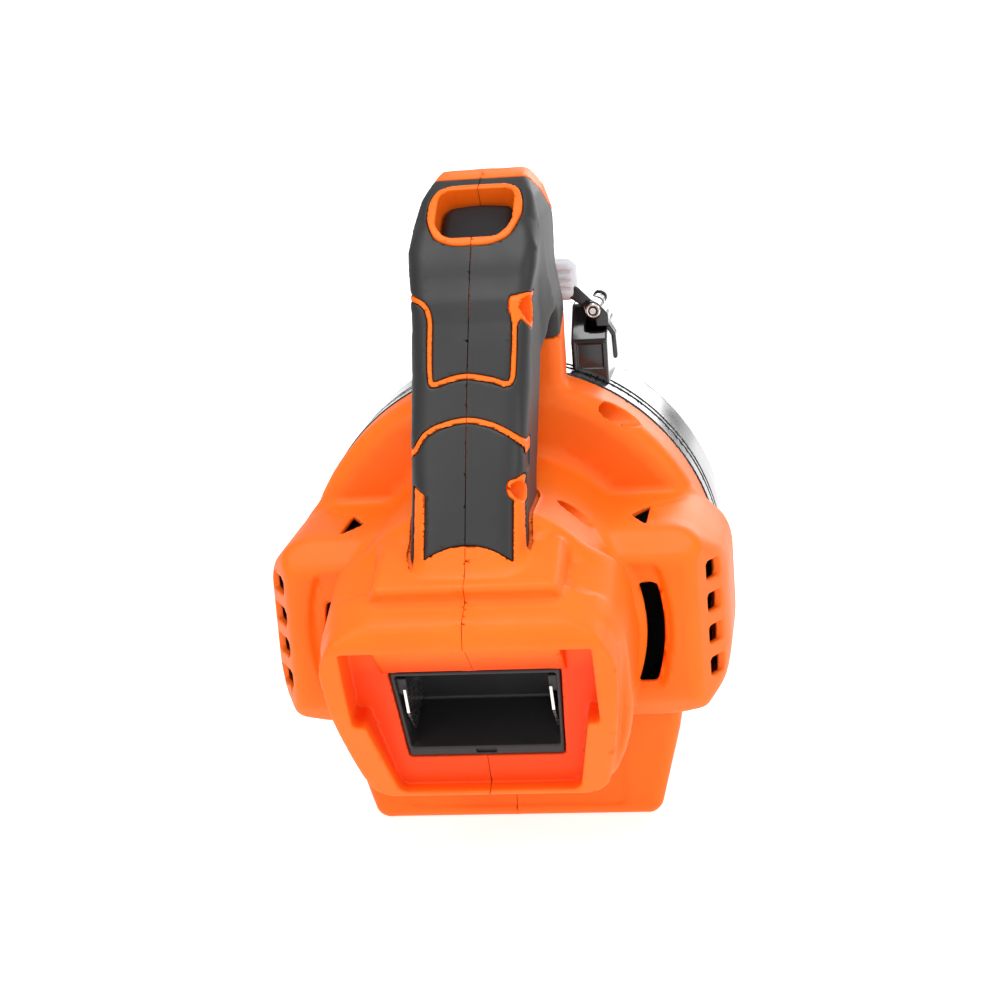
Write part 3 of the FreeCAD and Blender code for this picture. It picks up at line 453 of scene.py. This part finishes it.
def fan_housing_outer(x, y, z):
    rho = radius(x, z)
    d = both(rho - FAN_RADIUS, (y - 40) * 0.6 + (rho - FAN_RADIUS) * 0.8, 4)
    d = both(d, (y - 47) * 0.85 + (rho - 65) * 0.53, 5)
    neck = both(rho - 44, abs(y - 52) - 9.5, 1.5)
    d = either(d, neck, 3)
    for at in (4.5, 9.5):
        groove = both(abs(y - at) - 0.9, 72.3 - rho, 0.3)
        d = without(d, groove, 0.4)
    return d


def fan_housing(x, y, z):
    outer = either(fan_housing_outer(x, y, z), foot(x, y, z), 4)
    along, up = tube_frame(y, z)
    across = np.hypot(x, up)
    socket = both(across - 41, abs(along - 10) - 16, 1.5)
    outer = either(outer, socket, 2)
    ribs = None
    for i in range(8):
        a = math.radians(45 * i + 22.5)
        t = x * math.cos(a) + (z - AXIS) * math.sin(a)
        side = abs(z * math.cos(a) - AXIS * math.cos(a) - x * math.sin(a)) - 1.3
        rib = both(both(side, abs(t - 56) - 10), both(y - 48.6 + (t - 65) * 0.6235, 24 - y), 0.6)
        ribs = rib if ribs is None else np.minimum(ribs, rib)
    outer = np.minimum(outer, ribs)
    rho = radius(x, z)
    room = both(rho - 70.8, y - 43.5, 7)
    room = both(room, rho - 41.5 - np.maximum(58 - y, 0) * 1.72, 5)
    room = np.minimum(room, both(rho - 41.4, y - 61))
    room = np.minimum(room, both(across - 38.3, both(along - 27, -4 - along)))
    room = np.minimum(room, both(foot(x, y, z) + WALL, y - 42.5))
    return both(without(outer, room), -3.85 - y, 0.4)


def blower_tube(x, y, z):
    along, up = tube_frame(y, z)
    across = np.hypot(x, up)
    size = np.interp(along, [32, 190], [38, 33])
    wall = both(shell(across - size, 2), both(along - 190, 2.2 - along), 0.4)
    bead = both(abs(across - size - 0.2) - 1.2, abs(along - 36) - 2, 0.8)
    stripes = both(abs(across - size - 0.1) - 1.4, abs(abs(along - 96) - 40) - 1.9, 0.9)
    rib = both(both(abs(across - size) - 1.5, abs(x) - 1.9, 0.8), abs(along - 96) - 38)
    return np.minimum(np.minimum(wall, bead), np.minimum(stripes, rib))


def nozzle(x, y, z):
    """A sleeve on the tube that flattens towards its lip."""
    along, up = tube_frame(y, z)
    t = np.clip((along - 198) / 84, 0, 1)
    wide = 35.4 - 4.4 * t
    high = 35.4 - 22.4 * t
    flat = np.hypot(x / wide, up / high)
    round_d = (flat - 1) * np.minimum(wide, high)
    wall = both(both(round_d, -(round_d + 2)), both(along - 282, 168 - along), 0.5)
    collar = both(both(round_d - 1.1, -(round_d + 1)), abs(along - 172) - 4, 0.8)
    lip = both(both(round_d - 0.9, -(round_d + 1)), abs(along - 280) - 1.9, 0.6)
    return np.minimum(np.minimum(wall, collar), lip)


def pin_distance(x, z):
    return np.hypot(x - LATCH_PIN[0], z - LATCH_PIN[1])


def latch_hood(x, y, z):
    """A hollow hood over the pin, open below, with a sunk panel in its rear face."""
    prism = convex(x, z, [(24.1, 130), (36.8, 130), (36.8, 163), (28, 171.5), (24.1, 171.5)], 0.8)
    side = convex(y, z, [(3, 130), (34, 130), (34, 170.5), (15, 170.5), (3, 159.5)], 0.8)
    solid = both(prism, side, 0.7)
    d = both(solid, -(solid + 1.5))
    d = without(d, block(x, y, z, (30.6, 3, 154), (4.6, 0.8, 4.4), 0.3), 0.2)
    d = without(d, block(x, y, z, (33.5, 11, 170), (4.4, 6, 8), 0.5), 0.3)
    lugs = both(both(pin_distance(x, z) - 2.6, abs(abs(y - 27) - 6) - 1.3, 0.4), x - 36)
    web = both(block(x, y, z, (31, 27, 165.5), (1.6, 7.2, 4.5), 0.4), 4.8 - abs(y - 27))
    d = np.minimum(d, np.minimum(lugs, web))
    d = without(d, radius(x, z) - 73.5, 0.3)
    return without(d, pin_distance(x, z) - 1.2)


def latch_arm(x, y, z):
    """The lever's boss, its arm to the pad and its finger outside the hood."""
    middle = abs(y - 11)
    boss = both(pin_distance(x, z) - 3.0, middle - 4.6, 0.5)
    arm = both(capsule2(x, z, (26, 176), (31, 171.5), 2.4, 1.8), middle - 4, 0.5)
    heel = convex(x, z, [(33, 163.5), (37.4, 163.5), (37.4, 168), (35.4, 170.5), (33, 168)], 0.5)
    heel = both(heel, middle - 3.6, 0.4)
    finger = both(stroke(x, z, [(36.2, 165), (38.8, 160.5), (39.1, 152.6)], 0.8), middle - 3, 0.3)
    d = np.minimum(either(boss, arm, 1), np.minimum(heel, finger))
    return without(d, pin_distance(x, z) - 1.2)


def latch_pad(x, y, z):
    """The lever's thumb pad, with three grooves across its rear face."""
    pad = block(x, y, z, (18.6, 11, 180.6), (8.4, 4.8, 7.4), 3.2)
    grooves = None
    for i in (0, -1, 1):
        groove = block(x, y, z, (18.6, 6, 180.6 + 3 * i), (20, 0.7, 0.6), 0.2)
        grooves = groove if grooves is None else np.minimum(grooves, groove)
    return without(pad, grooves, 0.3)


def spring_eye(x, y, z):
    """The end turn of the spring around the pin."""
    return np.hypot(pin_distance(x, z) - 2.1, y - 5.7) - 0.55


def screw(y0, z0):
    """A seam screw with a cross recess and a ridged shank."""
    def shape(x, y, z):
        rho = np.hypot(y - y0, z - z0)
        d = both(rho - 3.35, abs(x - 9.75) - 1.2, 0.5)
        d = np.minimum(d, both(rho - 1.65, abs(x + 1.7) - 10.2, 0.3))
        thread = both(rho - 1.68 + 0.35 * abs(np.mod(x, 1.2) / 0.6 - 1), abs(x + 6) - 5.5)
        cross = both(np.minimum(abs(y - y0), abs(z - z0)) - 0.45, both(rho - 2.1, 9.6 - x), 0.1)
        return without(np.minimum(d, thread), cross, 0.1)
    return shape


# ------------------------------------------------------------------ materials


def new_material(name, color, rough, metallic=0.0):
    material = bpy.data.materials.new(name)
    material.use_nodes = True
    nodes = material.node_tree.nodes
    shader = nodes["Principled BSDF"]
    shader.inputs["Base Color"].default_value = (*color, 1)
    shader.inputs["Roughness"].default_value = rough
    shader.inputs["Metallic"].default_value = metallic
    shader.inputs["Specular IOR Level"].default_value = 0.38
    return material, nodes, material.node_tree.links, shader


def noise_of(nodes, links, scale, detail=4.0, stretch=(1, 1, 1)):
    place = nodes.new("ShaderNodeTexCoord")
    turn = nodes.new("ShaderNodeMapping")
    turn.inputs["Scale"].default_value = stretch
    noise = nodes.new("ShaderNodeTexNoise")
    noise.inputs["Scale"].default_value = scale
    noise.inputs["Detail"].default_value = detail
    links.new(place.outputs["Object"], turn.inputs["Vector"])
    links.new(turn.outputs["Vector"], noise.inputs["Vector"])
    return noise


def ramp_of(nodes, links, source, low, high, start=0.3, end=0.7):
    ramp = nodes.new("ShaderNodeMapRange")
    ramp.inputs["From Min"].default_value = start
    ramp.inputs["From Max"].default_value = end
    ramp.inputs["To Min"].default_value = low
    ramp.inputs["To Max"].default_value = high
    links.new(source, ramp.inputs["Value"])
    return ramp.outputs["Result"]


def plastic(name, color, rough=0.45, grain=1500.0, depth=0.00004, vary=0.06, wear=0.5, coat=0.0, shine=0.38):
    """Moulded plastic: cloudy tint, paler worn edges, fine spark-eroded grain."""
    material, nodes, links, shader = new_material(name, color, rough)
    shader.inputs["Specular IOR Level"].default_value = shine
    cloud = noise_of(nodes, links, 28.0, 3.0)
    tint = nodes.new("ShaderNodeMix")
    tint.data_type = "RGBA"
    tint.inputs["A"].default_value = (*[c * (1 - vary) for c in color], 1)
    tint.inputs["B"].default_value = (*[min(1, c * (1 + vary) + 0.003) for c in color], 1)
    links.new(ramp_of(nodes, links, cloud.outputs["Fac"], 0, 1), tint.inputs["Factor"])
    edge = nodes.new("ShaderNodeNewGeometry")
    worn = nodes.new("ShaderNodeMix")
    worn.data_type = "RGBA"
    worn.inputs["B"].default_value = (*[min(1, c + 0.10 * wear) for c in color], 1)
    links.new(ramp_of(nodes, links, edge.outputs["Pointiness"], 0, 0.55 * wear, 0.53, 0.62),
              worn.inputs["Factor"])
    links.new(tint.outputs["Result"], worn.inputs["A"])
    links.new(worn.outputs["Result"], shader.inputs["Base Color"])
    smear = noise_of(nodes, links, 60.0, 5.0, (1, 1, 0.35))
    links.new(ramp_of(nodes, links, smear.outputs["Fac"], rough - 0.05, rough + 0.07),
              shader.inputs["Roughness"])
    fine = noise_of(nodes, links, grain, 2.0)
    bump = nodes.new("ShaderNodeBump")
    bump.inputs["Strength"].default_value = 0.35
    bump.inputs["Distance"].default_value = depth
    links.new(fine.outputs["Fac"], bump.inputs["Height"])
    links.new(bump.outputs["Normal"], shader.inputs["Normal"])
    shader.inputs["Coat Weight"].default_value = coat
    shader.inputs["Coat Roughness"].default_value = 0.12
    return material


def paint_bay_shade(material):
    """Paints the walls of the battery bay a deeper red: painted shade, standing in for the dim light that
    has bounced off orange inside the recess.

    The mask is a box in the bay's own frame, in metres, that starts at the slanted rim.
    """
    nodes, links = material.node_tree.nodes, material.node_tree.links
    shader = nodes["Principled BSDF"]
    place = nodes.new("ShaderNodeTexCoord")
    turn = nodes.new("ShaderNodeMapping")
    turn.inputs["Rotation"].default_value = (math.radians(-BAY_TILT), 0, 0)
    parts = nodes.new("ShaderNodeSeparateXYZ")
    side = nodes.new("ShaderNodeMath")
    side.operation = "ABSOLUTE"
    links.new(place.outputs["Object"], turn.inputs["Vector"])
    links.new(turn.outputs["Vector"], parts.inputs["Vector"])
    links.new(parts.outputs["X"], side.inputs[0])
    inside = ramp_of(nodes, links, side.outputs["Value"], 1, 0, 0.0393, 0.0400)
    depth = nodes.new("ShaderNodeMath")
    depth.operation = "MULTIPLY_ADD"
    depth.inputs[1].default_value = 0.186
    links.new(parts.outputs["Z"], depth.inputs[0])
    links.new(parts.outputs["Y"], depth.inputs[2])
    for source, low, high, start, end in ((depth.outputs["Value"], 0, 1, -0.0676, -0.0635),
                                          (parts.outputs["Y"], 1, 0, -0.0748, -0.0740),
                                          (parts.outputs["Z"], 0, 1, 0.0635, 0.0665),
                                          (parts.outputs["Z"], 1, 0, 0.113, 0.128)):
        times = nodes.new("ShaderNodeMath")
        times.operation = "MULTIPLY"
        links.new(inside, times.inputs[0])
        links.new(ramp_of(nodes, links, source, low, high, start, end), times.inputs[1])
        inside = times.outputs["Value"]
    # painted shade: a deep red-orange is mixed into the bay's walls in place of their darker bounced light
    bay_shade = nodes.new("ShaderNodeMix")
    bay_shade.data_type = "RGBA"
    bay_shade.inputs["B"].default_value = (0.85, 0.055, 0.002, 1)
    links.new(inside, bay_shade.inputs["Factor"])
    links.new(shader.inputs["Base Color"].links[0].from_socket, bay_shade.inputs["A"])
    links.new(bay_shade.outputs["Result"], shader.inputs["Base Color"])


def metal(name, color, rough=0.3, stretch=(1, 1, 14)):
    material, nodes, links, shader = new_material(name, color, rough, 1.0)
    brushed = noise_of(nodes, links, 420.0, 4.0, stretch)
    stain = noise_of(nodes, links, 90.0, 3.0)
    tint = nodes.new("ShaderNodeMix")
    tint.data_type = "RGBA"
    tint.inputs["A"].default_value = (*[c * 0.8 for c in color], 1)
    tint.inputs["B"].default_value = (*[min(1, c * 1.1) for c in color], 1)
    links.new(ramp_of(nodes, links, stain.outputs["Fac"], 0, 1), tint.inputs["Factor"])
    links.new(tint.outputs["Result"], shader.inputs["Base Color"])
    links.new(ramp_of(nodes, links, brushed.outputs["Fac"], rough - 0.08, rough + 0.12),
              shader.inputs["Roughness"])
    bump = nodes.new("ShaderNodeBump")
    bump.inputs["Strength"].default_value = 0.2
    bump.inputs["Distance"].default_value = 0.00003
    links.new(brushed.outputs["Fac"], bump.inputs["Height"])
    links.new(bump.outputs["Normal"], shader.inputs["Normal"])
    return material


ORANGE = plastic("orange_moulded", (0.97, 0.15, 0.004), 0.46, vary=0.05, wear=0.3, shine=0.24)
# painted shade on the walls of the battery bay
paint_bay_shade(ORANGE)
SKIN = plastic("charcoal_soft_touch", (0.0165, 0.016, 0.016), 0.5, grain=2200.0, depth=0.00005,
               vary=0.12, wear=0.25)
BLACK = plastic("black_moulded", (0.018, 0.018, 0.019), 0.42, vary=0.12, wear=0.3)
GLOSS = plastic("black_polished", (0.012, 0.012, 0.013), 0.16, grain=700.0, depth=0.00001,
                vary=0.1, wear=0.2, coat=0.4)
TRIGGER = plastic("trigger_black", (0.010, 0.010, 0.011), 0.5, vary=0.1, wear=0.1, shine=0.14)
# painted reflection: a pale grey that stands in for the white glare on the latch pad, whose own finish is
# gloss black
GLARE_GREY = plastic("pale_grey_painted_glare", (0.62, 0.62, 0.65), 0.4, vary=0.04, wear=0.2)
RUBBER = plastic("rubber_black", (0.02, 0.02, 0.02), 0.72, grain=900.0, depth=0.0001, vary=0.15, wear=0.2)
BOARD = plastic("board_green", (0.02, 0.12, 0.045), 0.35, grain=500.0, depth=0.00003, vary=0.2, wear=0.3)
FOAM = plastic("filter_foam", (0.03, 0.03, 0.032), 0.95, grain=650.0, depth=0.0008, vary=0.3, wear=0.1)
RED_WIRE = plastic("red_insulation", (0.45, 0.02, 0.015), 0.45, vary=0.1)
BLACK_WIRE = plastic("black_insulation", (0.02, 0.02, 0.02), 0.45, vary=0.1)
STEEL = metal("plated_steel", (0.62, 0.62, 0.6), 0.28)
CAN = metal("drawn_steel", (0.5, 0.5, 0.5), 0.36, (1, 14, 1))
BLADE = metal("tinned_blade", (0.82, 0.8, 0.76), 0.22)
COPPER = metal("plated_brass", (0.78, 0.52, 0.25), 0.3)
IRON = metal("laminated_iron", (0.16, 0.16, 0.165), 0.5, (1, 40, 1))
ALUMINIUM = metal("extruded_aluminium", (0.75, 0.76, 0.77), 0.34, (14, 1, 1))

FINISH = {
    "orange_shell": ORANGE, "soft_skin": SKIN, "black_plastic": BLACK, "gloss_black": GLOSS, "steel": STEEL,
    "motor_steel": CAN, "terminal_metal": COPPER, "iron": IRON, "rubber": RUBBER, "board": BOARD,
    "aluminium": ALUMINIUM, "foam": FOAM, "red_insulation": RED_WIRE, "black_insulation": BLACK_WIRE,
}

# ------------------------------------------------------------------ pieces


def build_pieces():
    for side, sign in (("right", 1), ("left", -1)):
        add(half_mesh(f"casing_{side}", casing, sign, (-130, 0), (79.5, 8, 224), 0.7, 0.14),
            ORANGE, "root", "orange_shell", f"housing_{side}")
        add(half_mesh(f"overmould_{side}", soft_skin, sign, (-118, 105), (24, 9, 224), 0.45, 0.16),
            SKIN, "root", "soft_skin", f"grip_skin_{side}")
    add(mesh_of("terminal_housing", terminal_block, (-29, -124, 40), (29, -60, 100), 0.5),
        BLACK, "root", "black_plastic", "terminal_block")
    add(mesh_of("thumb_pad", thumb_trigger, (-13, -52, 190), (13, -10, 220), 0.35),
        TRIGGER, "trigger", "black_plastic", "thumb_trigger")
    add(mesh_of("fan_shroud", fan_housing, (-74, -4, 0), (74, 94, 154), 0.85),
        GLOSS, "root", "gloss_black", "fan_housing")
    add(mesh_of("blowing_tube", blower_tube, (-40, 55, 10), (40, 255, 124), 0.9),
        BLACK, "root", "black_plastic", "blower_tube")
    add(mesh_of("flat_nozzle", nozzle, (-38, 220, 0), (38, 342, 98), 0.8),
        BLACK, "root", "black_plastic", "nozzle")
    add(mesh_of("latch_cover", latch_hood, (24, 2, 140), (38, 35, 173), 0.28),
        GLOSS, "root", "gloss_black", "latch_hood")
    add(mesh_of("latch_arm", latch_arm, (22, 5, 150), (41, 17, 180), 0.28),
        GLOSS, "latch", "gloss_black", "latch_lever")
    # the latch pad gets the pale grey of a painted reflection instead of its gloss black
    add(mesh_of("latch_pad", latch_pad, (9, 5, 172), (28, 17, 189), 0.35), GLARE_GREY, "latch", "gloss_black")
    add(mesh_of("spring_eye", spring_eye, (29, 5, 166), (36, 7, 173), 0.18), STEEL, "latch", "steel")
    for name, (y0, z0), _ in SEAM_SCREWS:
        low, high = (-12, y0 - 4, z0 - 4), (11.2, y0 + 4, z0 + 4)
        piece = mesh_of(f"seam_screw_{name}", screw(y0, z0), low, high, 0.22)
        add(piece, STEEL, "root", "steel", "housing_screws")


def finish_cad_nodes():
    """Materials for the pieces that stay as they are, with softened edges."""
    slots_of = {s["node"]: s["material_slot"] for s in frame["record"]["subparts"]}
    for name, node in frame["nodes"].items():
        material = FINISH[slots_of[name]]
        if name.startswith("terminal_") and name != "terminal_block":
            material = BLADE
        node.data.materials.clear()
        node.data.materials.append(material)
        if name in ("heat_sink", "speed_board", "trigger_switch"):
            bevel = node.modifiers.new("edges", "BEVEL")
            bevel.width = 0.0004
            bevel.segments = 2
            bevel.limit_method = "ANGLE"
            bevel.harden_normals = True


# ------------------------------------------------------------------ studio


def build_studio():
    size = 14.0
    mesh = bpy.data.meshes.new("floor")
    corners = [(-size, -size, 0), (size, -size, 0), (size, size, 0), (-size, size, 0)]
    mesh.from_pydata(corners, [], [(0, 1, 2, 3)])
    floor = bpy.data.objects.new("floor", mesh)
    floor.location = (0, 0, -0.0004)
    bpy.context.scene.collection.objects.link(floor)
    material, nodes, links, shader = new_material("pale_floor", (0.6, 0.6, 0.6), 0.7)
    shader.inputs["Emission Color"].default_value = (1, 1, 1, 1)
    shader.inputs["Emission Strength"].default_value = 0.78
    cloud = noise_of(nodes, links, 1.5, 2.0)
    links.new(ramp_of(nodes, links, cloud.outputs["Fac"], 0.66, 0.74), shader.inputs["Roughness"])
    mesh.materials.append(material)

    world = bpy.data.worlds.new("studio")
    world.use_nodes = True
    world.node_tree.nodes["Background"].inputs["Color"].default_value = (1, 1, 1, 1)
    world.node_tree.nodes["Background"].inputs["Strength"].default_value = 0.4
    bpy.context.scene.world = world
    for name, place, target, power, width, height in (
            ("key", (-0.8, -1.4, 1.3), (0, -0.03, 0.1), 9.5, 0.7, 0.5),
            ("fill", (0.35, -1.9, 0.8), (0, -0.03, 0.1), 5.5, 0.6, 0.5),
            ("side", (1.5, -0.7, 0.9), (0, -0.03, 0.1), 8, 0.6, 0.8),
            ("top", (0.0, -0.2, 1.6), (0, -0.03, 0.1), 15, 0.9, 0.8),
            ("rim", (0.5, 1.7, 0.66), (0, 0.0, 0.12), 17, 1.6, 0.85)):
        light = bpy.data.lights.new(name, "AREA")
        light.shape = "RECTANGLE"
        light.size = width
        light.size_y = height
        light.energy = power
        lamp = bpy.data.objects.new(name, light)
        lamp.location = place
        lamp.rotation_euler = (Vector(target) - Vector(place)).to_track_quat("-Z", "Y").to_euler()
        bpy.context.scene.collection.objects.link(lamp)
    bpy.context.scene.view_settings.view_transform = "Standard"


def build_camera():
    """Looks from the rear, a little to the right and above, with a slight roll."""
    turn, rise, roll = (math.radians(a) for a in (8.8, 15.0, 4.4))
    ahead = Vector((-math.sin(turn) * math.cos(rise), math.cos(turn) * math.cos(rise), -math.sin(rise)))
    level = Vector((math.cos(turn), math.sin(turn), 0))
    over = level.cross(ahead)
    right = level * math.cos(roll) - over * math.sin(roll)
    up = level * math.sin(roll) + over * math.cos(roll)
    lens = bpy.data.cameras.new("camera")
    lens.lens = 83.6
    lens.clip_start = 0.05
    camera = bpy.data.objects.new("camera", lens)
    place = Vector((0, -0.031, 0.112)) - ahead * 0.8
    turned = Matrix((right, up, -ahead)).transposed()
    camera.matrix_world = Matrix.Translation(place) @ turned.to_4x4()
    bpy.context.scene.collection.objects.link(camera)
    bpy.context.scene.camera = camera


build_pieces()
finish_cad_nodes()
build_studio()
build_camera()
